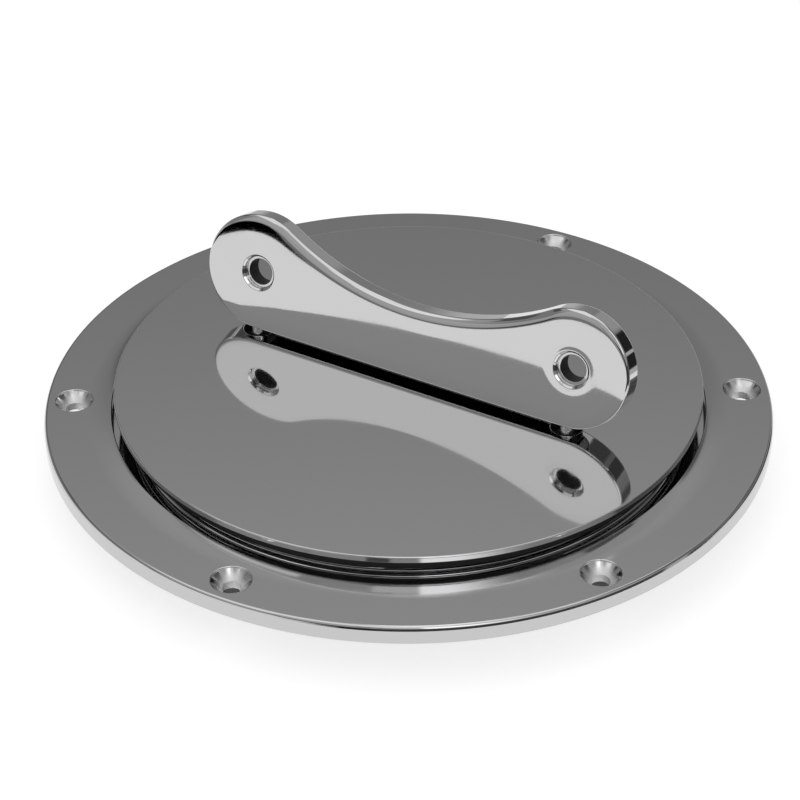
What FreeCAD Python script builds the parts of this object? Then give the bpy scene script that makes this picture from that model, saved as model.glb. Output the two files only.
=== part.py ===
import FreeCAD, Part
import math
import os

from FreeCAD import Placement, Rotation, Vector

# A round deck inspection plate of polished stainless steel, shown partly
# unscrewed: a screwed-down mounting ring, a lid that threads into it with a
# rubber seal, and the two-pin key that stands in the lid's pin holes.
# Lengths are in millimetres and angles in degrees. The deck's surface is the
# plane z = 0, and +X points through a pair of screw holes.

# Mounting ring
flange_width = 18.9
flange_thickness = 5.0
rim_round = 0.75
lip_width = 7.0
lip_rise = 0.65
recess_wall = 2.0
neck_depth = 13.0

# Countersunk screw holes
screw_edge_distance = 8.0
screw_count = 6
screw_hole_diameter = 5.2
countersink_diameter = 10.7
countersink_angle = 90.0

# Lid
lid_diameter = 165.3
lid_rim_overhang = 4.15
lid_rim_thickness = 1.85
lid_edge_round = 1.0
lid_plate_thickness = 3.0
skirt_length = 12.0
skirt_wall = 3.5
lid_raised = 5.95
recess_clearance = 0.95

# Right-hand thread between the lid and the ring
thread_pitch = 2.5
thread_crest_width = 0.7
thread_flank_angle = 30.0
thread_flank_clearance = 0.2
thread_radial_clearance = 0.25
thread_seal_margin = 0.4
thread_bearing = 96.0
ring_thread_length = 3.2
thread_stop_gap = 0.3

# Seal under the lid's rim
seal_section = 2.8
seal_fit_gap = 0.05

# Pin holes in the lid
pin_spacing = 100.0
pin_hole_diameter = 8.8
pin_hole_depth = 4.0
pin_hole_chamfer = 0.4
boss_wall = 3.2
boss_floor = 1.8

# Key
lobe_radius = 17.0
waist_height = 20.2
handle_thickness = 6.3
handle_top_round = 2.5
handle_back_chamfer = 0.4
lobe_bore_diameter = 7.6
lobe_ledge_diameter = 9.6
lobe_ledge_depth = 1.5
lobe_rim_chamfer = 0.6
pin_diameter = 4.0
pin_reach = 5.2
pin_grip = 8.0
pin_tip_chamfer = 0.4

# How the key stands in the lid
key_bearing = -31.55
key_lean = 12.4
key_forward = 1.2
key_along = 0.6
key_stand_gap = 0.05

# How many chords draw each large round
round_steps = 2

# Worked out from the sizes above
lid_radius = lid_diameter / 2
thread_radius = lid_radius - lid_rim_overhang
flank_slope = math.tan(math.radians(thread_flank_angle))
groove_half = (thread_pitch - thread_crest_width) / 2
groove_depth = groove_half / flank_slope
groove_root_radius = thread_radius - groove_depth
cutter_overrun = 0.3

lip_top = flange_thickness + lip_rise
recess_radius = lid_radius + recess_clearance
ring_radius = recess_radius + flange_width
screw_circle_diameter = 2 * (ring_radius - screw_edge_distance)
recess_floor = lip_top - lid_rim_thickness - seal_section - 2 * seal_fit_gap
ring_bore_radius = thread_radius + thread_radial_clearance

lid_top = lip_top + lid_raised
lid_underside = lid_top - lid_rim_thickness
skirt_bottom = lid_underside - skirt_length
skirt_inner_radius = groove_root_radius - skirt_wall

lid_thread_start = skirt_bottom - groove_half
lid_thread_end = lid_underside - seal_section - 2 * seal_fit_gap - groove_half - thread_seal_margin
ring_thread_end = lid_thread_end - lid_raised - thread_stop_gap
ring_thread_start = ring_thread_end - ring_thread_length


def revolved(edges):
    """Solid of revolution about Z from a closed outline in the XZ plane."""
    face = Part.Face(Part.Wire(edges))
    return face.revolve(Vector(0, 0, 0), Vector(0, 0, 1), 360)


def line(start, end):
    """Straight edge between two (radius, height) points."""
    return Part.makeLine(Vector(start[0], 0, start[1]), Vector(end[0], 0, end[1]))


def arc(start, middle, end):
    """Arc through three (radius, height) points."""
    points = [Vector(r, 0, z) for r, z in (start, middle, end)]
    return Part.Arc(*points).toShape()


def chain(*points):
    """Straight edges from point to point."""
    return [line(a, b) for a, b in zip(points, points[1:])]


def round_points(centre, radius, from_angle, to_angle):
    """Ends of the chords that draw an arc about a (radius, height) centre."""
    points = []
    for step in range(round_steps + 1):
        angle = from_angle + (to_angle - from_angle) * step / round_steps
        turn = math.radians(angle)
        points.append((centre[0] + radius * math.cos(turn), centre[1] + radius * math.sin(turn)))
    return points


def on_circle(diameter, angle, height=0.0):
    """Point on a circle about Z."""
    turn = math.radians(angle)
    return Vector(diameter / 2 * math.cos(turn), diameter / 2 * math.sin(turn), height)


def helical(section, radius, start, end, bearing):
    """Right-hand helical sweep about Z of a closed section drawn at height 0."""
    path = Part.Wire(Part.makeHelix(thread_pitch, end - start, radius).Edges)
    sweep = path.makePipeShell([Part.makePolygon(section + section[:1])], True, True)
    sweep.Placement = Placement(Vector(0, 0, start), Rotation(Vector(0, 0, 1), bearing))
    return sweep


def ring_body():
    """Flange with its raised lip, recess and neck, before the holes and the thread."""
    neck_radius = recess_radius + recess_wall
    lip_arc_radius = (lip_width ** 2 + lip_rise ** 2) / (2 * lip_rise)
    lip_turn = math.degrees(math.asin(lip_width / lip_arc_radius))
    rim_centre = (ring_radius - rim_round, flange_thickness - rim_round)
    lip_centre = (recess_radius + lip_width, flange_thickness + lip_arc_radius)
    return revolved(chain(
        (ring_bore_radius, -neck_depth),
        (neck_radius, -neck_depth),
        (neck_radius, 0),
        (ring_radius, 0),
        *round_points(rim_centre, rim_round, 0, 90),
        *round_points(lip_centre, lip_arc_radius, 270, 270 - lip_turn),
        (recess_radius, recess_floor),
        (ring_bore_radius, recess_floor),
        (ring_bore_radius, -neck_depth),
    ))


def countersink():
    """Cutter of one screw hole: a bore that opens in a cone."""
    bore_radius = screw_hole_diameter / 2
    mouth_radius = countersink_diameter / 2
    cone_slope = math.tan(math.radians(countersink_angle / 2))
    above = lip_rise + cutter_overrun
    return revolved(chain(
        (0, -cutter_overrun),
        (bore_radius, -cutter_overrun),
        (bore_radius, flange_thickness - (mouth_radius - bore_radius) / cone_slope),
        (mouth_radius + above * cone_slope, flange_thickness + above),
        (0, flange_thickness + above),
        (0, -cutter_overrun),
    ))


def ring_tooth():
    """Helical tooth of the ring's internal thread, which runs in the lid's groove."""
    axial_clearance = thread_flank_clearance / math.cos(math.radians(thread_flank_angle))
    foot_radius = ring_bore_radius + cutter_overrun
    foot_half = groove_half + (foot_radius - thread_radius) * flank_slope - axial_clearance
    section = [
        Vector(foot_radius, 0, -foot_half),
        Vector(foot_radius - foot_half / flank_slope, 0, 0),
        Vector(foot_radius, 0, foot_half),
    ]
    turned = 360 * (ring_thread_start - lid_thread_start) / thread_pitch
    return helical(
        section, ring_bore_radius, ring_thread_start, ring_thread_end, thread_bearing + turned)


def mounting_ring():
    """Ring with its screw holes and internal thread."""
    ring = ring_body()
    for index in range(screw_count):
        hole = countersink()
        hole.translate(on_circle(screw_circle_diameter, index * 360 / screw_count))
        ring = ring.cut(hole)
    return ring.fuse(ring_tooth())


def lid_body():
    """Lid's plate, rim and skirt, before the thread and the pin holes."""
    inside = lid_top - lid_plate_thickness
    edge_centre = (lid_radius - lid_edge_round, lid_top - lid_edge_round)
    return revolved(chain(
        (0, inside),
        (0, lid_top),
        *reversed(round_points(edge_centre, lid_edge_round, 0, 90)),
        (lid_radius, lid_underside),
        (thread_radius, lid_underside),
        (thread_radius, skirt_bottom),
        (skirt_inner_radius, skirt_bottom),
        (skirt_inner_radius, inside),
        (0, inside),
    ))


def lid_groove():
    """Cutter of the V groove that leaves the lid's external thread on the skirt."""
    mouth_radius = thread_radius + cutter_overrun
    mouth_half = groove_half + cutter_overrun * flank_slope
    section = [
        Vector(groove_root_radius, 0, 0),
        Vector(mouth_radius, 0, -mouth_half),
        Vector(mouth_radius, 0, mouth_half),
    ]
    return helical(section, thread_radius, lid_thread_start, lid_thread_end, thread_bearing)


def lid():
    """Lid with its external thread and two blind pin holes in bosses."""
    body = lid_body().cut(lid_groove())
    hole_radius = pin_hole_diameter / 2
    boss_bottom = lid_top - pin_hole_depth - boss_floor
    boss_top = lid_top - lid_plate_thickness / 2
    for side in (0, 180):
        centre = on_circle(pin_spacing, key_bearing + side, boss_bottom)
        body = body.fuse(Part.makeCylinder(hole_radius + boss_wall, boss_top - boss_bottom, centre))
    for side in (0, 180):
        floor = on_circle(pin_spacing, key_bearing + side, lid_top - pin_hole_depth)
        rim = on_circle(pin_spacing, key_bearing + side, lid_top - pin_hole_chamfer)
        hole = Part.makeCylinder(hole_radius, pin_hole_depth, floor)
        mouth = Part.makeCone(hole_radius, hole_radius + pin_hole_chamfer, pin_hole_chamfer, rim)
        body = body.cut(hole).cut(mouth)
    return body.removeSplitter()


def lid_seal():
    """Rubber ring of square section under the lid's rim."""
    inner = thread_radius + seal_fit_gap
    outer = inner + seal_section
    top = lid_underside - seal_fit_gap
    bottom = top - seal_section
    return revolved(chain(
        (inner, bottom),
        (inner, top),
        (outer, top),
        (outer, bottom),
        (inner, bottom),
    ))


def waist_touch():
    """Point where the handle's concave waist runs into its right lobe."""
    lobe = pin_spacing / 2
    rise = waist_height - lobe_radius
    waist_radius = (lobe ** 2 + rise ** 2 - lobe_radius ** 2) / (2 * (lobe_radius - rise))
    share = lobe_radius / (lobe_radius + waist_radius)
    return lobe * (1 - share), lobe_radius + (waist_height + waist_radius - lobe_radius) * share


def handle_plate(centre, radius, touch):
    """Plate in the XZ plane with two lobes, a straight foot between them and the waist above."""
    foot = centre[1] - radius
    outline = [
        line((-centre[0], foot), (centre[0], foot)),
        arc((centre[0], foot), (centre[0] + radius, centre[1]), touch),
        arc(touch, (0, waist_height), (-touch[0], touch[1])),
        arc((-touch[0], touch[1]), (-centre[0] - radius, centre[1]), (-centre[0], foot)),
    ]
    face = Part.Face(Part.Wire(outline))
    face.translate(Vector(0, -handle_thickness / 2, 0))
    return face.extrude(Vector(0, handle_thickness, 0))


def face_edges(plate, depth):
    """Edges of a plate that lie in one of its faces."""
    return [
        edge for edge in plate.Edges
        if all(abs(vertex.Point.y - depth) < 1e-6 for vertex in edge.Vertexes)
    ]


def chord_cuts(radius):
    """Pairs of chamfer lengths that together draw a quarter round along an edge."""
    half_step = math.radians(45 / round_steps)
    cuts = []
    for step in range(round_steps):
        middle = (2 * step + 1) * half_step
        along_face = 1 - (math.cos(half_step) - math.cos(middle)) / math.sin(middle)
        along_side = 1 - (math.cos(half_step) - math.sin(middle)) / math.cos(middle)
        cuts.append((radius * along_face, radius * along_side))
    return cuts


def rounded_handle():
    """Handle whose front edge has a large round along the waist, fading round the lobes."""
    centre = (pin_spacing / 2, lobe_radius)
    touch = waist_touch()
    plate = handle_plate(centre, lobe_radius, touch)
    plate = plate.makeChamfer(handle_back_chamfer, face_edges(plate, handle_thickness / 2))

    # The rounded blank meets the plate along the waist and stands out past its foot.
    away = ((centre[0] - touch[0]) / lobe_radius, (centre[1] - touch[1]) / lobe_radius)
    growth = handle_top_round / (1 - away[1])
    blank_centre = (centre[0] + away[0] * growth, centre[1] + away[1] * growth)
    blank = handle_plate(blank_centre, lobe_radius + growth, touch)
    for along_face, along_side in chord_cuts(handle_top_round):
        cut = blank.makeChamfer(along_face, along_side, face_edges(blank, -handle_thickness / 2))
        plate = plate.common(cut)
    return plate


def lobe_hole(lobe_x):
    """Cutter of one hole through the handle, with a ledge and a chamfered rim in front."""
    half = handle_thickness / 2
    bore = lobe_bore_diameter / 2
    ledge = lobe_ledge_diameter / 2
    rim = ledge + lobe_rim_chamfer
    cutter = revolved(chain(
        (0, -half),
        (bore, -half),
        (bore, half - lobe_ledge_depth),
        (ledge, half - lobe_ledge_depth),
        (ledge, half - lobe_rim_chamfer),
        (rim, half),
        (0, half),
        (0, -half),
    ))
    cutter.Placement = Placement(Vector(lobe_x, 0, lobe_radius), Rotation(Vector(1, 0, 0), 90))
    return cutter


def key_handle():
    """Handle in its own plane, with lobe holes and sockets for the pins."""
    handle = rounded_handle()
    for side in (-1, 1):
        handle = handle.cut(lobe_hole(side * pin_spacing / 2))
        socket = Part.makeCylinder(pin_diameter / 2, pin_grip, Vector(side * pin_spacing / 2, 0, 0))
        handle = handle.cut(socket)
    return handle


def key_pin(side):
    """Round pin pressed into the handle's foot, with a chamfered tip."""
    radius = pin_diameter / 2
    pin = revolved(chain(
        (0, -pin_reach), (radius - pin_tip_chamfer, -pin_reach),
        (radius, pin_tip_chamfer - pin_reach), (radius, pin_grip), (0, pin_grip),
        (0, -pin_reach)))
    pin.translate(Vector(side * pin_spacing / 2, 0, 0))
    return pin


def key_placement():
    """Where the key stands: its pins on the holes' floors, leaning back from the front."""
    lean = math.radians(key_lean)
    tip_drop = pin_reach * math.cos(lean) + pin_diameter / 2 * math.sin(lean)
    foot_height = tip_drop - (pin_hole_depth - key_stand_gap)
    foot_forward = key_forward - foot_height * math.tan(lean)
    leaning = Placement(
        Vector(key_along, -foot_forward, foot_height), Rotation(Vector(1, 0, 0), -key_lean))
    turned = Placement(Vector(0, 0, lid_top), Rotation(Vector(0, 0, 1), key_bearing))
    return turned.multiply(leaning)


def main():
    """Write one STEP file for each piece."""
    key_place = key_placement()
    parts = {
        "mounting_ring": mounting_ring(),
        "lid": lid(),
        "lid_seal": lid_seal(),
        "key_handle": key_handle().transformed(key_place.toMatrix()),
        "key_pin_left": key_pin(-1).transformed(key_place.toMatrix()),
        "key_pin_right": key_pin(1).transformed(key_place.toMatrix()),
    }
    os.makedirs("parts", exist_ok=True)
    for name, shape in parts.items():
        solids = shape.Solids
        print(name, "solids", len(solids), "valid", shape.isValid(), "volume", round(shape.Volume, 1))
        Part.Compound(solids).exportStep(f"parts/{name}.step")


main()
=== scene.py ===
import math

import bmesh
import bpy
from mathutils import Matrix, Vector
from mathutils.geometry import tessellate_polygon


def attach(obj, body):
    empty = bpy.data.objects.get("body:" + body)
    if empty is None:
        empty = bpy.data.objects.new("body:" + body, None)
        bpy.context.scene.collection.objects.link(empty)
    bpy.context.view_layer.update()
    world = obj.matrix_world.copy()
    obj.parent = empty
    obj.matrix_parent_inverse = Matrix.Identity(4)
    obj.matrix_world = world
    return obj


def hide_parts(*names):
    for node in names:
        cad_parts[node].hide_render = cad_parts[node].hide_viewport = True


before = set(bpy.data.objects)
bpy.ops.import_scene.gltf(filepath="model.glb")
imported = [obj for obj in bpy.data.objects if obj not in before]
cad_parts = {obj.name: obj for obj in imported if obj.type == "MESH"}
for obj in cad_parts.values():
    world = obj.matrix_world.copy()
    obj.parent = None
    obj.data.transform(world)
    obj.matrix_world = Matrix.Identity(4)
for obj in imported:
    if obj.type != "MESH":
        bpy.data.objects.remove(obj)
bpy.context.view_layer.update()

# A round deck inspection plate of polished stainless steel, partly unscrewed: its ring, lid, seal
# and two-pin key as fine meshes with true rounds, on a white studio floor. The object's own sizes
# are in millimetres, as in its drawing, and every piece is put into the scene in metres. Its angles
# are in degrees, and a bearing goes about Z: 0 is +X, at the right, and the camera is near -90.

MM = 0.001

# Fineness: points round the lid's axis and round smaller circles, steps of an arc, and the angle
# over which an edge is drawn sharp. A support is a point just outside an arc that keeps the flat
# beside it shaded flat. A border is the strip of a flat face next to a hole or a round.
COLUMNS = 720
SEAL_COLUMNS = 360
PIN_HOLE_COLUMNS = 128
KEY_COLUMNS = 96
ARC_STEPS = 7
LID_ARC_STEPS = 10
RING_ARC_STEPS = 4
HOLE_ARC_STEPS = 5
ARC_SUPPORT = 0.05
SHARP_ANGLE = 38.0
WELD_DIGITS = 4

# Mounting ring: its rim has a hand-polished edge, a round over a short steep band
RING_RADIUS = 102.5
FLANGE_THICKNESS = 5.0
RIM_ROUND = 0.9
RIM_DRAFT = 0.39
RIM_DRAFT_DEPTH = 1.13
RIM_SIDE_ROUND = 0.4
RIM_FOOT_ROUND = 0.12
RECESS_RADIUS = 83.6
RECESS_FLOOR = 0.9
RECESS_CORNER_ROUND = 0.3
LIP_WIDTH = 7.0
LIP_RISE = 0.65
LIP_EDGE_ROUND = 0.3
LIP_BORDER = 0.45
LIP_STEPS = 11
NECK_RADIUS = 85.6
NECK_DEPTH = 13.0
NECK_ROUND = 0.4
BORE_RADIUS = 78.75
BORE_EDGE_ROUND = 0.25

# Countersunk screw holes, each in a patch between the sheets of the flange
SCREW_CIRCLE_RADIUS = 94.5
SCREW_COUNT = 6
SCREW_HOLE_RADIUS = 2.6
SCREW_HOLE_ROUND = 0.15
SCREW_HOLE_BORDER = 0.6
COUNTERSINK_RADIUS = 5.35
COUNTERSINK_ROUND = 0.3
COUNTERSINK_BORDER = 0.75
COUNTERSINK_WALL = 0.4
COUNTERSINK_WALL_DRAFT = 0.08
COUNTERSINK_WALL_ROUND = 0.1
COUNTERSINK_FOOT_ROUND = 0.2
PATCH_HALF_WIDTH = 6.5
PATCH_HALF_COLUMNS = 8
PATCH_LIP_ROWS = 6
PATCH_FLAT_ROWS = 8
PATCH_SHARES = (0.35, 0.7, 1.0)

# Lid
LID_RADIUS = 82.65
LID_TOP = 11.6
LID_RIM_THICKNESS = 1.85
LID_EDGE_ROUND = 0.35
LID_UNDER_ROUND = 0.3
LID_FACE_BORDER = 1.5
LID_PLATE_THICKNESS = 3.0
LID_PLATE_BORDER = 2.0
SKIRT_TOP_ROUND = 0.15
SKIRT_BOTTOM = -2.25
SKIRT_BOTTOM_BORDER = 0.8
SKIRT_BOTTOM_ROUND = 0.4
SKIRT_INNER_RADIUS = 73.44
SKIRT_INNER_ROUND = 1.0

# Thread: a groove round the lid's skirt, and a tooth round the ring's bore
THREAD_RADIUS = 78.5
THREAD_PITCH = 2.5
THREAD_TOP = 6.6
THREAD_BEARING = 96.0
SEAM_OFFSET = 1e-6
GROOVE_DEPTH = 1.56
GROOVE_HALF = 0.9
GROOVE_START = -3.15
GROOVE_END = 5.55
GROOVE_RUN_OUT = 12.0
TOOTH_TIP_RADIUS = 77.34
TOOTH_TIP_HALF = 0.06
TOOTH_CREST_INSET = 0.04
TOOTH_FLANK_INSET = 0.12
TOOTH_FOOT_HALF = 0.99
TOOTH_FOOT_SUNK = 0.3
TOOTH_START = -3.9
TOOTH_END = -0.7

# Seal
SEAL_SECTION = 2.8
SEAL_GAP = 0.05
SEAL_ROUND = 0.45

# Pin holes in the lid
PIN_SPACING = 100.0
PIN_HOLE_RADIUS = 4.4
PIN_HOLE_DEPTH = 4.0
PIN_HOLE_ROUND = 0.45
PIN_HOLE_BORDER = 1.0
PIN_HOLE_FLOOR_ROUND = 0.3
BOSS_RADIUS = 7.6
BOSS_FLOOR = 1.8
BOSS_ROUND = 0.5
BOSS_ROOT_ROUND = 0.8
BOSS_BORDER = 1.2

# Key's handle: two lobes and a waist, with softly rolled faces and a top round that fades out
LOBE_RADIUS = 17.0
WAIST_HEIGHT = 20.2
LOBE_STEPS = 150
WAIST_STEPS = 60
FOOT_STEPS = 24
HANDLE_THICKNESS = 6.3
HANDLE_TOP_ROUND = 2.5
HANDLE_TOP_ARC = 3.4
HANDLE_TOP_STEPS = 14
HANDLE_EDGE_ROUND = 0.7
HANDLE_EDGE_STEPS = 6
HANDLE_BACK_CHAMFER = 0.6
HANDLE_BACK_SUPPORT = 0.1
HANDLE_BACK_BORDER = 0.4
CHAMFER_SHARES = ((0.08, 0.65), (0.5, 0.16))
ROLL_STEPS = 8
FACE_ROLL_WIDTH = 4.0
FACE_ROLL_DEPTH = 0.08
HOLE_ROLL_WIDTH = 3.0
HOLE_ROLL_DEPTHS = {-1: 0.03, 1: 0.12}

# Stepped holes in the lobes
LOBE_RIM_CHAMFER = 0.6
LOBE_RIM_ROUND = 0.25
LOBE_RIM_BORDER = 0.2
LOBE_LEDGE_RADIUS = 4.8
LOBE_LEDGE_DEPTH = 1.5
LOBE_WALL_ROUND = 0.2
LOBE_LEDGE_ROUND = 0.25
LOBE_BORE_RADIUS = 3.8
LOBE_BORE_ROUND = 0.18
LOBE_BACK_ROUND = 0.25
LOBE_BACK_BORDER = 0.7
LOBE_ARC_SUPPORT = 0.03

# Key's pins, and how the key stands in the lid
PIN_RADIUS = 2.0
PIN_REACH = 5.2
PIN_GRIP = 8.0
PIN_TIP_ROUND = 0.4
PIN_END_ROUND = 0.1
KEY_BEARING = -31.55
KEY_LEAN = 12.4
KEY_FORWARD = 1.2
KEY_ALONG = 0.6
KEY_STAND_GAP = 0.05

# Where the polishing wheel doesn't reach, the holes are satin, and their colour is painted: lighter
# in the ring's countersinks, a painted light, and near black in the lid's pin holes and the key's
# bores, a
# painted shade. Below: how far inside a countersink's mouth and below the lid's face that starts,
# and the margin that takes in the wall of a straight hole
COUNTERSINK_POLISHED = 0.15
PIN_HOLE_POLISHED = 0.3
WALL_MARGIN = 0.05
CUT_ROUGHNESS = 0.62

# Polish: noise for the smears and the hairlines, the span of each noise that shows, and the
# shares of the steel's roughness that it is mapped to
SMEARS = {"Scale": 34.0, "Detail": 3.0, "Roughness": 0.55}
SMEAR_SPAN = (0.35, 0.7)
SMEAR_SHARES = (0.8, 1.35)
HAIRLINES = {"Scale": 1.0, "Detail": 4.0, "Roughness": 0.6}
HAIRLINE_STRETCH = (60.0, 2600.0, 900.0)
HAIRLINE_SPAN = (0.4, 0.75)
HAIRLINE_SHARE = 0.5
STEEL_BLUE = 1.005

# Rubber
RUBBER_TONE = 0.012
RUBBER_GRAIN = {"Scale": 2500.0, "Detail": 3.0}
RUBBER_SPAN = (0.3, 0.7)
RUBBER_ROUGHNESS = (0.42, 0.6)

# Brightness of the studio by elevation, up to the zenith
STUDIO_RAMP = (
    (0, 0.55), (4, 0.45), (9, 0.26), (30, 0.24), (35, 0.32), (40, 0.4), (50, 0.42), (56, 0.8),
    (62, 3.6), (78, 4.0), (86, 2.2), (90, 2.0),
)
ZENITH = 90

# Walls and panels of the studio that the steel mirrors, each laid over the ones before it: bearing
# of the middle, half width, lowest and highest elevation, width of the soft edge, and brightness
STUDIO_ZONES = (
    # In front
    (-113, 14, 12, 26, 3, 0.5),
    (-94, 34, 26, 58, 4, 0.5),
    (-103, 4, 26, 60, 1, 0.12),
    (-97, 9, 46, 62, 3, 0.85),
    (-62, 24, 26, 60, 2, 1.8),
    (-36, 6, 26, 60, 36, 0.45),
    # At the left
    (-149, 16, -20, 8, 3, 0.22),
    (-149, 16, 8, 24, 3, 0.44),
    (-149, 16, 24, 46, 6, 0.48),
    (143, 30, 33, 40, 2, 0.1),
    (-158.3, 10, -20, 2, 0.4, 0.0),
    (-172, 30, 50, 58, 3, 1.05),
    # At the right
    (33, 11, -30, 12, 1.5, 0.02),
    (8, 14, -30, 6, 2, 0.06),
    (31, 35, 32, 40, 2, 0.1),
    (30, 8, -5.5, -3, 0.5, 0.5),
    (27, 10, -30, -20, 2, 0.5),
    (56, 10, 10, 24, 4, 0.38),
    (8, 14, 30, 62, 4, 0.12),
    # Behind
    (112, 14, 5, 26, 4, 0.15),
    (87.5, 3.5, 47, 62, 3, 1.8),
    (68, 13, 44, 54, 3, 0.36),
    (112, 18.5, 46, 60, 2, 0.4),
    (93.3, 1.3, 49, 60, 0.8, 0.15),
    # In front, low down beyond the floor's edge
    (-113, 14, -20, 9, 2, 0.03),
    (-58, 41, -20, 9, 3, 0.06),
)

# Floor: its outline in metres, and in millimetres its gap under the neck and how far outside the
# ring its glow for the steel starts; under the ring the steel mirrors no glow, a painted shade. The
# front edge is further out at the left, where the key's face mirrors it, than at the right, where
# the ring's rim mirrors the dark beyond it.
FLOOR_LEFT, FLOOR_RIGHT = -0.385, 0.15
FLOOR_FRONT, FLOOR_BACK = -0.2, 0.32
FLOOR_FAR_FRONT = -0.4
FLOOR_STEP_LEFT, FLOOR_STEP_RIGHT = -0.13, -0.08
FLOOR_GAP = 0.05
FLOOR_TONE = 0.5
FLOOR_GLOW_SEEN = 0.75
FLOOR_GLOW_MIRRORED = 0.66
FLOOR_GLOW_MARGIN = 2

# Camera: a long lens on a 36 mm square sensor, aimed close to the flange's top
LENS = 109.04
SENSOR = 36.0
CAMERA_DISTANCE = 0.6858
CAMERA_ELEVATION = 34.488
CAMERA_BEARING = -1.246
CAMERA_AIM_HEIGHT = 0.005
CAMERA_YAW = -0.201
CAMERA_PITCH = -0.125
CAMERA_ROLL = -0.259


class Shell:
    """Mesh under construction in millimetres; corners that meet are one vertex."""

    def __init__(self):
        self.points = []
        self.faces = []
        self.index = {}

    def corner(self, point):
        key = tuple(round(value, WELD_DIGITS) for value in point)
        if key not in self.index:
            self.index[key] = len(self.points)
            self.points.append(point)
        return self.index[key]

    def face(self, *points):
        corners = []
        for point in points:
            corner = self.corner(point)
            if corner not in corners:
                corners.append(corner)
        if len(corners) > 2:
            self.faces.append(corners)

    def bridge(self, loop_a, loop_b, closed=True):
        """Quads between two loops with as many points each."""
        count = len(loop_a)
        for i in range(count if closed else count - 1):
            j = (i + 1) % count
            self.face(loop_a[i], loop_a[j], loop_b[j], loop_b[i])

    def loft(self, loops):
        for loop_a, loop_b in zip(loops, loops[1:]):
            self.bridge(loop_a, loop_b)

    def flat(self, *loops):
        """Flat face inside the first loop, with the other loops as its holes."""
        points = [point for loop in loops for point in loop]
        for triangle in tessellate_polygon([[Vector(point) for point in loop] for loop in loops]):
            self.face(*(points[i] for i in triangle))

    def piece(self, name, node, body, slot, material, placement=None, satin_and_painted_shading=None):
        """Finished object in metres, in place of its CAD node."""
        mesh = bpy.data.meshes.new(name)
        placed = [Vector(point) for point in self.points]
        if placement is not None:
            placed = [placement @ point for point in placed]
        mesh.from_pydata([point * MM for point in placed], [], self.faces)
        build = bmesh.new()
        build.from_mesh(mesh)
        bmesh.ops.recalc_face_normals(build, faces=build.faces)
        build.to_mesh(mesh)
        build.free()
        # Per point, the share of satin finish and of a painted tone, which paints light or shade
        # into the holes
        if satin_and_painted_shading is not None:
            shares = mesh.attributes.new("satin_and_painted_shading", "FLOAT", "POINT")
            shares.data.foreach_set("value", [float(satin_and_painted_shading(point)) for point in self.points])
        mesh.shade_smooth()
        mesh.set_sharp_from_angle(angle=math.radians(SHARP_ANGLE))
        mesh.materials.append(material)
        piece = bpy.data.objects.new(name, mesh)
        bpy.context.scene.collection.objects.link(piece)
        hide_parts(node)
        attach(piece, body)
        return piece


def turn(radius, bearing, height):
    """Point at a bearing about Z."""
    angle = math.radians(bearing)
    return (radius * math.cos(angle), radius * math.sin(angle), height)


def circle(radius, height, count=COLUMNS, centre=(0.0, 0.0)):
    """Loop of points about an upright axis."""
    loop = [turn(radius, 360 * i / count, height) for i in range(count)]
    return [(x + centre[0], y + centre[1], z) for x, y, z in loop]


def rounded(corners, steps=ARC_STEPS, support=ARC_SUPPORT):
    """Outline through (radius, height, round) corners, with each round drawn as an arc."""
    outline = [corners[0][:2]]
    for before, corner, after in zip(corners, corners[1:], corners[2:]):
        here = Vector(corner[:2])
        if corner[2] == 0:
            outline.append(tuple(here))
            continue
        back = (Vector(before[:2]) - here).normalized()
        ahead = (Vector(after[:2]) - here).normalized()
        opening = back.angle(ahead)
        reach = corner[2] / math.tan(opening / 2)
        centre = here + (back + ahead).normalized() * corner[2] / math.sin(opening / 2)
        start = here + back * reach - centre
        swing = math.pi - opening
        if start.x * back.y > start.y * back.x:
            swing = -swing
        outline.append(tuple(here + back * (reach + support)))
        for step in range(steps + 1):
            turned = Matrix.Rotation(swing * step / steps, 2) @ start
            outline.append(tuple(centre + turned))
        outline.append(tuple(here + ahead * (reach + support)))
    outline.append(corners[-1][:2])
    return outline


def lathe(shell, outline, count=COLUMNS, centre=(0.0, 0.0)):
    """Surface of revolution of a (radius, height) outline."""
    shell.loft([circle(radius, height, count, centre) for radius, height in outline])


def smoothstep(value):
    value = min(max(value, 0.0), 1.0)
    return value * value * (3 - 2 * value)


def nearest_apart(point, centres):
    """Level distance from a point to the nearest of some centres."""
    return min(math.hypot(point[0] - x, point[1] - y) for x, y, _ in centres)


# The mounting ring

LIP_ARC_RADIUS = (LIP_WIDTH ** 2 + LIP_RISE ** 2) / (2 * LIP_RISE)
LIP_OUTER_RADIUS = RECESS_RADIUS + LIP_WIDTH
PATCH_INNER = SCREW_CIRCLE_RADIUS - PATCH_HALF_WIDTH
PATCH_OUTER = SCREW_CIRCLE_RADIUS + PATCH_HALF_WIDTH


def flange_top(radius):
    """Height of the flange's top: flat, and a hollow arc up to the lip."""
    inside = max(LIP_OUTER_RADIUS - radius, 0.0)
    return FLANGE_THICKNESS + LIP_ARC_RADIUS - math.sqrt(LIP_ARC_RADIUS ** 2 - inside ** 2)


def flange_underside(radius):
    """Height of the flange's underside, which is flat on the deck."""
    return 0.0


def patch_rows():
    """Radii of the rows that the sheets of the flange have in common beside the holes."""
    lip_width = LIP_OUTER_RADIUS - PATCH_INNER
    flat_width = PATCH_OUTER - LIP_OUTER_RADIUS
    lip = [PATCH_INNER + lip_width * i / PATCH_LIP_ROWS for i in range(PATCH_LIP_ROWS)]
    flat = [LIP_OUTER_RADIUS + flat_width * i / PATCH_FLAT_ROWS for i in range(PATCH_FLAT_ROWS + 1)]
    return lip + flat


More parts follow.
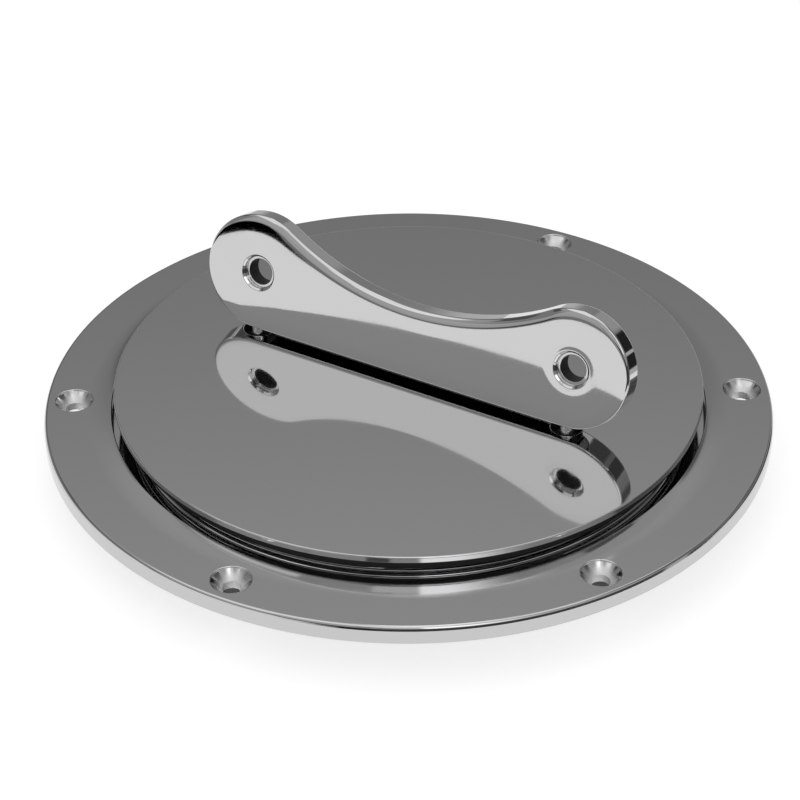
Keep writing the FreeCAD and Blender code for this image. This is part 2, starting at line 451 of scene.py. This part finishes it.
def flange_sheet(shell, rows, height):
    """Top or underside of the flange, with a gap for each screw hole's patch."""
    per_hole = COLUMNS // SCREW_COUNT
    for column in range(COLUMNS):
        offset = (column + PATCH_HALF_COLUMNS) % per_hole
        if offset < 2 * PATCH_HALF_COLUMNS:
            continue
        a, b = 360 * column / COLUMNS, 360 * (column + 1) / COLUMNS
        for inner, outer in zip(rows, rows[1:]):
            shell.face(
                turn(inner, a, height(inner)), turn(outer, a, height(outer)),
                turn(outer, b, height(outer)), turn(inner, b, height(inner)))


def patch_border(rows, bearing, height):
    """Points round the gap in a sheet, and the angle of each about the hole, in radians."""
    half = 360 * PATCH_HALF_COLUMNS / COLUMNS
    steps = [bearing - half + 360 * i / COLUMNS for i in range(2 * PATCH_HALF_COLUMNS + 1)]
    border = [(rows[0], angle) for angle in steps]
    border += [(radius, steps[-1]) for radius in rows[1:-1]]
    border += [(rows[-1], angle) for angle in reversed(steps)]
    border += [(radius, steps[0]) for radius in reversed(rows[1:-1])]
    centre = Vector(turn(SCREW_CIRCLE_RADIUS, bearing, 0))
    points = [turn(radius, angle, height(radius)) for radius, angle in border]
    angles = [math.atan2(y - centre.y, x - centre.x) for x, y, _ in points]
    return points, angles


def screw_hole(shell, rows, bearing):
    """Countersunk hole with a softly polished mouth, between the two sheets of the flange."""
    centre = Vector(turn(SCREW_CIRCLE_RADIUS, bearing, 0))
    wall_foot = COUNTERSINK_RADIUS - COUNTERSINK_WALL_DRAFT
    cone_foot = FLANGE_THICKNESS - (COUNTERSINK_RADIUS - SCREW_HOLE_RADIUS)
    outline = rounded([
        (COUNTERSINK_RADIUS + COUNTERSINK_BORDER, FLANGE_THICKNESS, 0),
        (COUNTERSINK_RADIUS, FLANGE_THICKNESS, COUNTERSINK_ROUND),
        (wall_foot, FLANGE_THICKNESS - COUNTERSINK_WALL, COUNTERSINK_WALL_ROUND),
        (SCREW_HOLE_RADIUS, cone_foot, COUNTERSINK_FOOT_ROUND),
        (SCREW_HOLE_RADIUS, 0, SCREW_HOLE_ROUND),
        (SCREW_HOLE_RADIUS + SCREW_HOLE_BORDER, 0, 0),
    ], steps=HOLE_ARC_STEPS)
    top, angles = patch_border(rows, bearing, flange_top)
    bottom, _ = patch_border(rows, bearing, flange_underside)

    def hole_loop(radius, height):
        loop = []
        for angle in angles:
            x = centre.x + radius * math.cos(angle)
            y = centre.y + radius * math.sin(angle)
            lift = (flange_top(math.hypot(x, y)) - FLANGE_THICKNESS) * height / FLANGE_THICKNESS
            loop.append((x, y, height + lift))
        return loop

    loops = [hole_loop(radius, height) for radius, height in outline]
    shell.loft(loops)
    shell.bridge(loops[-1], bottom)
    previous = loops[0]
    for share in PATCH_SHARES:
        between = []
        for start, end in zip(loops[0], top):
            x = start[0] + (end[0] - start[0]) * share
            y = start[1] + (end[1] - start[1]) * share
            between.append(end if share == 1.0 else (x, y, flange_top(math.hypot(x, y))))
        shell.bridge(previous, between)
        previous = between


def ring_tooth(shell):
    """Helical tooth of the ring's thread, standing out of the bore."""
    turns = (TOOTH_END - TOOTH_START) / THREAD_PITCH
    count = int(turns * COLUMNS / 2)
    start_angle = THREAD_BEARING + 360 * (TOOTH_START - GROOVE_START) / THREAD_PITCH
    foot = BORE_RADIUS + TOOTH_FOOT_SUNK
    flank = TOOTH_TIP_RADIUS + TOOTH_FLANK_INSET
    section = [
        (foot, -TOOTH_FOOT_HALF),
        (flank, -TOOTH_TIP_HALF),
        (TOOTH_TIP_RADIUS + TOOTH_CREST_INSET, 0),
        (flank, TOOTH_TIP_HALF),
        (foot, TOOTH_FOOT_HALF),
    ]
    loops = []
    for i in range(count + 1):
        angle = start_angle + 360 * turns * i / count
        height = TOOTH_START + (TOOTH_END - TOOTH_START) * i / count
        loops.append([turn(radius, angle, height + rise) for radius, rise in section])
    shell.loft(loops)
    shell.face(*loops[0])
    shell.face(*loops[-1])


def mounting_ring(material):
    shell = Shell()
    rows = patch_rows()
    flange_sheet(shell, rows, flange_top)
    flange_sheet(shell, rows, flange_underside)
    bearings = [360 * index / SCREW_COUNT for index in range(SCREW_COUNT)]
    for bearing in bearings:
        screw_hole(shell, rows, bearing)
    rim = rounded([
        (PATCH_OUTER, FLANGE_THICKNESS, 0),
        (RING_RADIUS - RIM_DRAFT, FLANGE_THICKNESS, RIM_ROUND),
        (RING_RADIUS, FLANGE_THICKNESS - RIM_DRAFT_DEPTH, RIM_SIDE_ROUND),
        (RING_RADIUS, 0, RIM_FOOT_ROUND),
        (PATCH_OUTER, 0, 0),
    ])
    lathe(shell, rim)

    lip = []
    lip_width = PATCH_INNER - RECESS_RADIUS - LIP_BORDER
    for i in range(1, LIP_STEPS + 1):
        radius = RECESS_RADIUS + LIP_BORDER + lip_width * i / LIP_STEPS
        lip.append((radius, flange_top(radius), 0))
    inside = rounded([
        (PATCH_INNER, 0, 0),
        (NECK_RADIUS, 0, NECK_ROUND),
        (NECK_RADIUS, -NECK_DEPTH, NECK_ROUND),
        (BORE_RADIUS, -NECK_DEPTH, NECK_ROUND),
        (BORE_RADIUS, RECESS_FLOOR, BORE_EDGE_ROUND),
        (RECESS_RADIUS, RECESS_FLOOR, RECESS_CORNER_ROUND),
        (RECESS_RADIUS, flange_top(RECESS_RADIUS), LIP_EDGE_ROUND),
        *lip,
    ], steps=RING_ARC_STEPS)
    lathe(shell, inside)
    ring_tooth(shell)
    centres = [turn(SCREW_CIRCLE_RADIUS, bearing, 0) for bearing in bearings]

    # The countersinks' cones: satin, and lighter in colour, which is painted light
    def in_countersink(point):
        return nearest_apart(point, centres) < COUNTERSINK_RADIUS - COUNTERSINK_POLISHED

    return shell.piece(
        "ring_polished", "mounting_ring", "ring", "ring_steel", material, satin_and_painted_shading=in_countersink)


# The lid

def groove_radius(angle, height):
    """Radius of the lid's skirt at an angle and height, with the V groove cut in."""
    turned = ((angle - THREAD_BEARING) / 360) % 1.0
    nearest = round((height - GROOVE_START) / THREAD_PITCH - turned)
    along = nearest + turned
    last = (GROOVE_END - GROOVE_START) / THREAD_PITCH
    if along < 0 or along > last:
        return THREAD_RADIUS
    centre = GROOVE_START + THREAD_PITCH * along
    deep = 1 - abs(height - centre) / GROOVE_HALF
    run_out = smoothstep((last - along) * 360 / GROOVE_RUN_OUT)
    return THREAD_RADIUS - GROOVE_DEPTH * max(deep, 0.0) * run_out


def skirt_point(column, height):
    """Point of the skirt's cut wall, in a column counted from the thread's start.

    The offset keeps the first column from being rounded into the turn before it.
    """
    angle = THREAD_BEARING + 360 * column / COLUMNS
    return turn(groove_radius(angle + SEAM_OFFSET, height), angle, height)


def threaded_wall(shell, low, high):
    """Skirt's outer wall: rows that climb with the thread, held between two heights."""
    edge = GROOVE_HALF / THREAD_PITCH
    beside = 0.02
    within = 0.015
    shares = [
        -0.5, -edge - beside, -edge + within, -edge / 2, -beside,
        0.0, beside, edge / 2, edge - within, edge + beside]
    spare_turns = 2
    first = int((low - GROOVE_START) / THREAD_PITCH) - spare_turns
    last = int((high - GROOVE_START) / THREAD_PITCH) + spare_turns
    rows = [first + k + share for k in range(last - first) for share in shares]

    def row_point(row, column):
        height = GROOVE_START + THREAD_PITCH * (row + column / COLUMNS)
        return skirt_point(column, min(max(height, low), high))

    for column in range(COLUMNS):
        if column + 1 < COLUMNS:
            after = [row_point(row, column + 1) for row in rows]
        else:
            after = [row_point(row + 1, 0) for row in rows]
        before = [row_point(row, column) for row in rows]
        shell.bridge(before, after, closed=False)


def lid(material):
    shell = Shell()
    inside = LID_TOP - LID_PLATE_THICKNESS
    underside = LID_TOP - LID_RIM_THICKNESS
    rim = rounded([
        (LID_RADIUS - LID_FACE_BORDER, LID_TOP, 0),
        (LID_RADIUS, LID_TOP, LID_EDGE_ROUND),
        (LID_RADIUS, underside, LID_UNDER_ROUND),
        (THREAD_RADIUS, underside, SKIRT_TOP_ROUND),
        (THREAD_RADIUS, THREAD_TOP, 0),
    ], steps=LID_ARC_STEPS)
    lathe(shell, rim)
    threaded_wall(shell, SKIRT_BOTTOM, THREAD_TOP)

    # The skirt's bottom joins the cut wall to the smooth inside.
    inner = rounded([
        (SKIRT_INNER_RADIUS + SKIRT_BOTTOM_BORDER, SKIRT_BOTTOM, 0),
        (SKIRT_INNER_RADIUS, SKIRT_BOTTOM, SKIRT_BOTTOM_ROUND),
        (SKIRT_INNER_RADIUS, inside, SKIRT_INNER_ROUND),
        (SKIRT_INNER_RADIUS - LID_PLATE_BORDER, inside, 0),
    ])
    loops = []
    for radius, height in inner:
        loops.append([
            turn(radius, THREAD_BEARING + 360 * i / COLUMNS, height) for i in range(COLUMNS)])
    shell.bridge([skirt_point(column, SKIRT_BOTTOM) for column in range(COLUMNS)], loops[0])
    shell.loft(loops)

    centres = [turn(PIN_SPACING / 2, KEY_BEARING + side, 0) for side in (0, 180)]
    hole_floor = LID_TOP - PIN_HOLE_DEPTH
    hole = rounded([
        (PIN_HOLE_RADIUS + PIN_HOLE_BORDER, LID_TOP, 0),
        (PIN_HOLE_RADIUS, LID_TOP, PIN_HOLE_ROUND),
        (PIN_HOLE_RADIUS, hole_floor, PIN_HOLE_FLOOR_ROUND),
        (0, hole_floor, 0),
    ])
    boss_bottom = hole_floor - BOSS_FLOOR
    boss = rounded([
        (BOSS_RADIUS + BOSS_BORDER, inside, 0),
        (BOSS_RADIUS, inside, BOSS_ROOT_ROUND),
        (BOSS_RADIUS, boss_bottom, BOSS_ROUND),
        (0, boss_bottom, 0),
    ])
    hole_edges = []
    boss_edges = []
    for x, y, _ in centres:
        lathe(shell, hole, PIN_HOLE_COLUMNS, (x, y))
        lathe(shell, boss, PIN_HOLE_COLUMNS, (x, y))
        hole_edges.append(circle(*hole[0], PIN_HOLE_COLUMNS, (x, y)))
        boss_edges.append(circle(*boss[0], PIN_HOLE_COLUMNS, (x, y)))
    shell.flat(circle(*rim[0]), *hole_edges)
    shell.flat(loops[-1], *boss_edges)

    # The pin holes' walls and floors: satin, and near black in colour, which is painted shade
    def in_pin_hole(point):
        beside = nearest_apart(point, centres) < PIN_HOLE_RADIUS + WALL_MARGIN
        return beside and point[2] < LID_TOP - PIN_HOLE_POLISHED

    return shell.piece(
        "lid_polished", "lid", "lid", "lid_steel", material, satin_and_painted_shading=in_pin_hole)


def lid_seal(material):
    shell = Shell()
    inner = THREAD_RADIUS + SEAL_GAP
    top = LID_TOP - LID_RIM_THICKNESS - SEAL_GAP
    outline = rounded([
        (inner + SEAL_SECTION / 2, top, 0),
        (inner + SEAL_SECTION, top, SEAL_ROUND),
        (inner + SEAL_SECTION, top - SEAL_SECTION, SEAL_ROUND),
        (inner, top - SEAL_SECTION, SEAL_ROUND),
        (inner, top, SEAL_ROUND),
        (inner + SEAL_SECTION / 2, top, 0),
    ])
    lathe(shell, outline, SEAL_COLUMNS)
    return shell.piece("seal_ring", "lid_seal", "seal", "seal_rubber", material)


# The key

def key_placement():
    """Where the key stands: its pins on the holes' floors, leaning back from the front."""
    lean = math.radians(KEY_LEAN)
    tip_drop = PIN_REACH * math.cos(lean) + PIN_RADIUS * math.sin(lean)
    foot_height = tip_drop - (PIN_HOLE_DEPTH - KEY_STAND_GAP)
    foot_forward = KEY_FORWARD - foot_height * math.tan(lean)
    bearing = Matrix.Rotation(math.radians(KEY_BEARING), 4, "Z")
    turned = Matrix.Translation((0, 0, LID_TOP)) @ bearing
    moved = Matrix.Translation((KEY_ALONG, -foot_forward, foot_height))
    return turned @ moved @ Matrix.Rotation(-lean, 4, "X")


def handle_outline():
    """Points round the handle, each with its outward direction and how far the round has faded."""
    lobe = PIN_SPACING / 2
    rise = WAIST_HEIGHT - LOBE_RADIUS
    waist_radius = (lobe ** 2 + rise ** 2 - LOBE_RADIUS ** 2) / (2 * (LOBE_RADIUS - rise))
    waist_centre = Vector((0, WAIST_HEIGHT + waist_radius))
    centre = Vector((lobe, LOBE_RADIUS))
    away = (centre - waist_centre).normalized()
    growth = HANDLE_TOP_ROUND / (1 - away.y)
    blank_centre = centre + away * growth
    touch_angle = math.atan2(-away.y, -away.x)

    right = []
    for i in range(LOBE_STEPS + 1):
        angle = -math.pi / 2 + (touch_angle + math.pi / 2) * i / LOBE_STEPS
        outward = Vector((math.cos(angle), math.sin(angle)))
        point = centre + outward * LOBE_RADIUS
        fade = LOBE_RADIUS + growth - (point - blank_centre).length
        right.append((point, outward, fade))
    spread = math.asin((centre - away * LOBE_RADIUS).x / waist_radius)
    waist = []
    for i in range(1, WAIST_STEPS):
        angle = spread * (1 - 2 * i / WAIST_STEPS)
        outward = Vector((-math.sin(angle), math.cos(angle)))
        waist.append((waist_centre - outward * waist_radius, outward, 0.0))
    left = [(Vector((-p.x, p.y)), Vector((-o.x, o.y)), fade) for p, o, fade in reversed(right)]
    foot = []
    for i in range(1, FOOT_STEPS):
        x = lobe * (2 * i / FOOT_STEPS - 1)
        foot.append((Vector((x, 0)), Vector((0, -1)), HANDLE_TOP_ROUND))
    return right + waist + left + foot


def roll_off(start, width, depth):
    """(place, depth) points where a flat face was softened by polishing, from the flat on."""
    shares = [i / ROLL_STEPS for i in range(ROLL_STEPS + 1)]
    return [(start + width * (1 - share), depth * share ** 2) for share in shares]


def handle_section(fade):
    """(inset, depth) points from the front face over the edge to the back face."""
    big, small = HANDLE_TOP_ARC, HANDLE_EDGE_ROUND
    tilt = math.atan(2 * FACE_ROLL_DEPTH / FACE_ROLL_WIDTH)
    reach = (HANDLE_TOP_ROUND - fade - small + big * math.sin(tilt)) / (big - small)
    last = math.asin(max(reach, math.sin(tilt)))
    foot = small * (1 - math.sin(last))
    start = foot + big * (math.sin(last) - math.sin(tilt))
    section = roll_off(start, FACE_ROLL_WIDTH, FACE_ROLL_DEPTH)
    for i in range(1, HANDLE_TOP_STEPS + 1):
        angle = tilt + (last - tilt) * i / HANDLE_TOP_STEPS
        section.append((
            foot + big * (math.sin(last) - math.sin(angle)),
            FACE_ROLL_DEPTH + big * (math.cos(tilt) - math.cos(angle))))
    shoulder = section[-1][1]
    for i in range(1, HANDLE_EDGE_STEPS + 1):
        angle = last + (math.pi / 2 - last) * i / HANDLE_EDGE_STEPS
        section.append((
            small * (1 - math.sin(angle)),
            shoulder + small * (math.cos(last) - math.cos(angle))))
    back = HANDLE_THICKNESS
    edge = HANDLE_BACK_CHAMFER
    section += [
        (0.0, section[-1][1] + ARC_SUPPORT),
        (0.0, back - edge - HANDLE_BACK_SUPPORT),
        (0.0, back - edge),
        *((edge * inset, back - edge * drop) for inset, drop in CHAMFER_SHARES),
        (edge, back),
        (edge + ARC_SUPPORT, back),
        (edge + HANDLE_BACK_BORDER, back),
    ]
    return section


def lobe_hole(roll_depth):
    """(radius, depth) outline of a hole through the handle, from the front face to the back."""
    rim = LOBE_LEDGE_RADIUS + LOBE_RIM_CHAMFER
    mouth = roll_off(rim + LOBE_RIM_BORDER, HOLE_ROLL_WIDTH, roll_depth)
    return rounded([
        *((radius, depth, 0) for radius, depth in mouth),
        (rim, roll_depth, LOBE_RIM_ROUND),
        (LOBE_LEDGE_RADIUS, LOBE_RIM_CHAMFER, LOBE_WALL_ROUND),
        (LOBE_LEDGE_RADIUS, LOBE_LEDGE_DEPTH, LOBE_LEDGE_ROUND),
        (LOBE_BORE_RADIUS, LOBE_LEDGE_DEPTH, LOBE_BORE_ROUND),
        (LOBE_BORE_RADIUS, HANDLE_THICKNESS, LOBE_BACK_ROUND),
        (LOBE_BORE_RADIUS + LOBE_BACK_BORDER, HANDLE_THICKNESS, 0),
    ], steps=HOLE_ARC_STEPS, support=LOBE_ARC_SUPPORT)


def key_handle(material, placement):
    shell = Shell()
    front = -HANDLE_THICKNESS / 2
    columns = []
    for point, outward, fade in handle_outline():
        columns.append([
            (point.x - outward.x * inset, front + depth, point.y - outward.y * inset)
            for inset, depth in handle_section(fade)])
    loops = list(zip(*columns))
    shell.loft(loops)

    front_loops = [loops[0]]
    back_loops = [loops[-1]]
    for side in (-1, 1):
        rings = []
        for radius, depth in lobe_hole(HOLE_ROLL_DEPTHS[side]):
            ring = circle(radius, 0, KEY_COLUMNS, (side * PIN_SPACING / 2, LOBE_RADIUS))
            rings.append([(x, front + depth, y) for x, y, _ in ring])
        shell.loft(rings)
        front_loops.append(rings[0])
        back_loops.append(rings[-1])
    shell.flat(*front_loops)
    shell.flat(*back_loops)

    # The bores' walls: satin, and near black in colour, which is painted shade
    def in_bore(point):
        apart = math.hypot(abs(point[0]) - PIN_SPACING / 2, point[2] - LOBE_RADIUS)
        return apart < LOBE_BORE_RADIUS + WALL_MARGIN

    return shell.piece(
        "key_handle_polished", "key_handle", "lid", "key_steel", material, placement,
        satin_and_painted_shading=in_bore)


def key_pin(side, material, placement):
    """Turned pin with a rounded tip, pressed into the handle's foot."""
    shell = Shell()
    outline = rounded([
        (0, -PIN_REACH, 0),
        (PIN_RADIUS, -PIN_REACH, PIN_TIP_ROUND),
        (PIN_RADIUS, PIN_GRIP, PIN_END_ROUND),
        (0, PIN_GRIP, 0),
    ])
    lathe(shell, outline, KEY_COLUMNS, (side * PIN_SPACING / 2, 0))
    name = "left" if side < 0 else "right"
    return shell.piece(
        f"key_pin_{name}_turned", f"key_pin_{name}", "lid", "pin_steel", material, placement)


# Materials

def new_material(name, colour):
    material = bpy.data.materials.new(name)
    material.use_nodes = True
    shader = material.node_tree.nodes["Principled BSDF"]
    shader.inputs["Base Color"].default_value = colour
    return material, material.node_tree, shader


def grey(tone, blue=1.0):
    return (tone, tone, tone * blue, 1)


def math_node(tree, operation, *values):
    """Result of a maths node whose inputs are numbers or sockets."""
    node = tree.nodes.new("ShaderNodeMath")
    node.operation = operation
    for socket, value in zip(node.inputs, values):
        if isinstance(value, (int, float)):
            socket.default_value = value
        else:
            tree.links.new(value, socket)
    return node.outputs[0]


def map_range(tree, value, span, result, smooth=False):
    """Value mapped from one (low, high) span to another."""
    node = tree.nodes.new("ShaderNodeMapRange")
    if smooth:
        node.interpolation_type = "SMOOTHSTEP"
    for end, number, mapped in zip(("Min", "Max"), span, result):
        node.inputs[f"From {end}"].default_value = number
        node.inputs[f"To {end}"].default_value = mapped
    tree.links.new(value, node.inputs["Value"])
    return node.outputs["Result"]


def mix(tree, factor, value, tone):
    """Value that turns into a set tone as the factor goes from zero to one."""
    node = tree.nodes.new("ShaderNodeMix")
    tree.links.new(factor, node.inputs["Factor"])
    tree.links.new(value, node.inputs["A"])
    node.inputs["B"].default_value = tone
    return node.outputs["Result"]


def noise(tree, place, settings):
    node = tree.nodes.new("ShaderNodeTexNoise")
    for key, value in settings.items():
        node.inputs[key].default_value = value
    tree.links.new(place, node.inputs["Vector"])
    return node.outputs["Fac"]


def bump(tree, shader, height, strength, distance):
    node = tree.nodes.new("ShaderNodeBump")
    node.inputs["Strength"].default_value = strength
    node.inputs["Distance"].default_value = distance
    tree.links.new(height, node.inputs["Height"])
    tree.links.new(node.outputs["Normal"], shader.inputs["Normal"])


def polished_steel(name, tone, roughness, grain_bearing, painted_shading_tone=None):
    """Mirror-polished steel with faint smears and hairlines left by the polishing wheel.

    With a tone for the holes, the holes that the wheel doesn't reach are satin and have that tone,
    which is painted light or painted shade, not the steel's own colour.
    """
    steel = grey(tone, STEEL_BLUE)
    material, tree, shader = new_material(name, steel)
    shader.inputs["Metallic"].default_value = 1.0
    place = tree.nodes.new("ShaderNodeTexCoord").outputs["Object"]
    smears = noise(tree, place, SMEARS)
    stretched = tree.nodes.new("ShaderNodeMapping")
    stretched.inputs["Rotation"].default_value = (0, 0, math.radians(grain_bearing))
    stretched.inputs["Scale"].default_value = HAIRLINE_STRETCH
    tree.links.new(place, stretched.inputs["Vector"])
    hairlines = noise(tree, stretched.outputs["Vector"], HAIRLINES)

    smeared = [roughness * share for share in SMEAR_SHARES]
    cloudy = map_range(tree, smears, SMEAR_SPAN, smeared, smooth=True)
    scratched = (0.0, roughness * HAIRLINE_SHARE)
    lined = map_range(tree, hairlines, HAIRLINE_SPAN, scratched, smooth=True)
    dulled = math_node(tree, "ADD", cloudy, lined)
    # The holes' satin roughness is real; their colour is set to the given tone, a painted light or
    # painted shade
    if painted_shading_tone is not None:
        inside = tree.nodes.new("ShaderNodeAttribute")
        inside.attribute_name = "satin_and_painted_shading"
        satin = math_node(tree, "MULTIPLY", inside.outputs["Fac"], CUT_ROUGHNESS)
        dulled = math_node(tree, "MAXIMUM", dulled, satin)
        colour = tree.nodes.new("ShaderNodeMix")
        colour.data_type = "RGBA"
        tree.links.new(inside.outputs["Fac"], colour.inputs["Factor"])
        colour.inputs["A"].default_value = steel
        colour.inputs["B"].default_value = grey(painted_shading_tone)
        tree.links.new(colour.outputs["Result"], shader.inputs["Base Color"])
    tree.links.new(dulled, shader.inputs["Roughness"])
    bump(tree, shader, hairlines, strength=0.02, distance=0.00002)
    return material


def black_rubber():
    """Smooth black rubber with a moulded grain."""
    material, tree, shader = new_material("black_rubber", grey(RUBBER_TONE))
    place = tree.nodes.new("ShaderNodeTexCoord").outputs["Object"]
    grain = noise(tree, place, RUBBER_GRAIN)
    dull = map_range(tree, grain, RUBBER_SPAN, RUBBER_ROUGHNESS)
    tree.links.new(dull, shader.inputs["Roughness"])
    bump(tree, shader, grain, strength=0.25, distance=0.00005)
    return material


# The studio

def studio_world():
    """Grey studio with a bright band of light above its walls and a dimmer ceiling."""
    world = bpy.data.worlds.new("studio")
    bpy.context.scene.world = world
    world.use_nodes = True
    tree = world.node_tree
    background = tree.nodes["Background"]
    background.inputs["Color"].default_value = grey(1)
    direction = tree.nodes.new("ShaderNodeTexCoord").outputs["Generated"]
    split = tree.nodes.new("ShaderNodeSeparateXYZ")
    tree.links.new(direction, split.inputs["Vector"])
    x, y, z = split.outputs
    degrees = 180 / math.pi
    elevation = math_node(tree, "MULTIPLY", math_node(tree, "ARCSINE", z), degrees)
    bearing = math_node(tree, "MULTIPLY", math_node(tree, "ARCTAN2", y, x), degrees)

    ramp = tree.nodes.new("ShaderNodeValToRGB")
    ramp.color_ramp.interpolation = "B_SPLINE"
    elements = ramp.color_ramp.elements
    while len(elements) < len(STUDIO_RAMP):
        elements.new(1.0)
    for element, (angle, tone) in zip(elements, STUDIO_RAMP):
        element.position = angle / ZENITH
        element.color = grey(tone)
    tree.links.new(math_node(tree, "DIVIDE", elevation, ZENITH), ramp.inputs["Fac"])

    def zone(centre, half, low, high, soft):
        """One inside a span of bearings and elevations, zero outside, with soft edges."""
        apart = math_node(tree, "SUBTRACT", bearing, centre)
        apart = math_node(tree, "ABSOLUTE", math_node(tree, "WRAP", apart, 180, -180))
        across = map_range(tree, apart, (half, half + soft), (1.0, 0.0), smooth=True)
        above = map_range(tree, elevation, (low - soft, low), (0.0, 1.0), smooth=True)
        below = map_range(tree, elevation, (high, high + soft), (1.0, 0.0), smooth=True)
        return math_node(tree, "MULTIPLY", across, math_node(tree, "MULTIPLY", above, below))

    value = ramp.outputs["Color"]
    for centre, half, low, high, soft, tone in STUDIO_ZONES:
        value = mix(tree, zone(centre, half, low, high, soft), value, tone)
    light_path = tree.nodes.new("ShaderNodeLightPath")
    white_to_camera = mix(tree, light_path.outputs["Is Camera Ray"], value, 1.0)
    tree.links.new(white_to_camera, background.inputs["Strength"])


def white_floor():
    """White floor that shows as white, to the camera and in the steel, and keeps soft shadows;
    under the ring its glow for the steel is left out, a painted shade.
    """
    low = -(NECK_DEPTH + FLOOR_GAP) * MM
    outline = [
        (FLOOR_LEFT, FLOOR_FAR_FRONT),
        (FLOOR_STEP_LEFT, FLOOR_FAR_FRONT),
        (FLOOR_STEP_RIGHT, FLOOR_FRONT),
        (FLOOR_RIGHT, FLOOR_FRONT),
        (FLOOR_RIGHT, FLOOR_BACK),
        (FLOOR_LEFT, FLOOR_BACK),
    ]
    mesh = bpy.data.meshes.new("floor")
    mesh.from_pydata([(x, y, low) for x, y in outline], [], [(0, 1, 2, 5), (2, 3, 4, 5)])
    floor = bpy.data.objects.new("floor", mesh)
    bpy.context.scene.collection.objects.link(floor)

    material, tree, shader = new_material("floor_white", grey(FLOOR_TONE))
    shader.inputs["Roughness"].default_value = 0.9
    shader.inputs["Specular IOR Level"].default_value = 0.0
    place = tree.nodes.new("ShaderNodeTexCoord").outputs["Object"]
    reach = tree.nodes.new("ShaderNodeVectorMath")
    reach.operation = "LENGTH"
    tree.links.new(place, reach.inputs["Vector"])
    # The glow for the steel is left out under the ring and just beyond it: a painted shade that the
    # steel mirrors there
    glow_start = (RING_RADIUS + FLOOR_GLOW_MARGIN) * MM
    open_floor = math_node(tree, "GREATER_THAN", reach.outputs["Value"], glow_start)
    rays = tree.nodes.new("ShaderNodeLightPath").outputs
    mirrored = math_node(tree, "MAXIMUM", rays["Is Glossy Ray"], rays["Is Transmission Ray"])
    mirrored = math_node(tree, "MULTIPLY", mirrored, open_floor)
    mirrored = math_node(tree, "MULTIPLY", mirrored, FLOOR_GLOW_MIRRORED)
    seen = math_node(tree, "MULTIPLY", rays["Is Camera Ray"], FLOOR_GLOW_SEEN)
    glow = tree.nodes.new("ShaderNodeEmission")
    tree.links.new(math_node(tree, "MAXIMUM", mirrored, seen), glow.inputs["Strength"])
    both = tree.nodes.new("ShaderNodeAddShader")
    tree.links.new(shader.outputs["BSDF"], both.inputs[0])
    tree.links.new(glow.outputs["Emission"], both.inputs[1])
    tree.links.new(both.outputs["Shader"], tree.nodes["Material Output"].inputs["Surface"])
    mesh.materials.append(material)


def camera():
    """Camera at the photograph's viewing angle."""
    data = bpy.data.cameras.new("camera")
    data.lens = LENS
    data.sensor_width = SENSOR
    data.sensor_fit = "HORIZONTAL"
    data.clip_start = 0.01
    data.clip_end = 50.0
    place = bpy.data.objects.new("camera", data)
    bpy.context.scene.collection.objects.link(place)
    rise = math.radians(CAMERA_ELEVATION)
    eye = Vector((0, -math.cos(rise), math.sin(rise))) * CAMERA_DISTANCE
    ahead = -eye.normalized()
    right = Vector((1, 0, 0))
    up = right.cross(ahead)
    yaw, pitch, roll = (math.radians(a) for a in (CAMERA_YAW, CAMERA_PITCH, CAMERA_ROLL))
    turned = ahead * math.cos(yaw) * math.cos(pitch) + right * math.sin(yaw) * math.cos(pitch)
    look = (turned + up * math.sin(pitch)).normalized()
    side = look.cross(up).normalized()
    top = side.cross(look)
    rolled_side = side * math.cos(roll) + top * math.sin(roll)
    rolled_top = -side * math.sin(roll) + top * math.cos(roll)
    axes = Matrix((rolled_side, rolled_top, -look)).transposed().to_4x4()
    bearing = Matrix.Rotation(math.radians(CAMERA_BEARING), 4, "Z")
    stand = Matrix.Translation((0, 0, CAMERA_AIM_HEIGHT)) @ bearing
    place.matrix_world = stand @ Matrix.Translation(eye) @ axes
    bpy.context.scene.camera = place


# Tones for the holes: 0.85 in the ring's countersinks is painted light, and 0.1 and 0.08 in the
# lid's pin holes and the key's bores are painted shade
ring_steel = polished_steel(
    "ring_polished_steel", tone=0.6, roughness=0.06, grain_bearing=20, painted_shading_tone=0.85)
lid_steel = polished_steel(
    "lid_polished_steel", tone=0.62, roughness=0.045, grain_bearing=-10, painted_shading_tone=0.1)
key_steel = polished_steel(
    "key_polished_steel", tone=0.64, roughness=0.04, grain_bearing=KEY_BEARING, painted_shading_tone=0.08)
# The pin's steel is lighter in tone than the other steels, which is painted light; its rougher
# turned finish is real
pin_steel = polished_steel("pin_turned_steel_painted_light", tone=0.8, roughness=0.2, grain_bearing=0)
rubber = black_rubber()

mounting_ring(ring_steel)
lid(lid_steel)
lid_seal(rubber)
standing = key_placement()
key_handle(key_steel, standing)
for side in (-1, 1):
    key_pin(side, pin_steel, standing)

white_floor()
studio_world()
camera()
bpy.context.scene.view_settings.view_transform = "Standard"
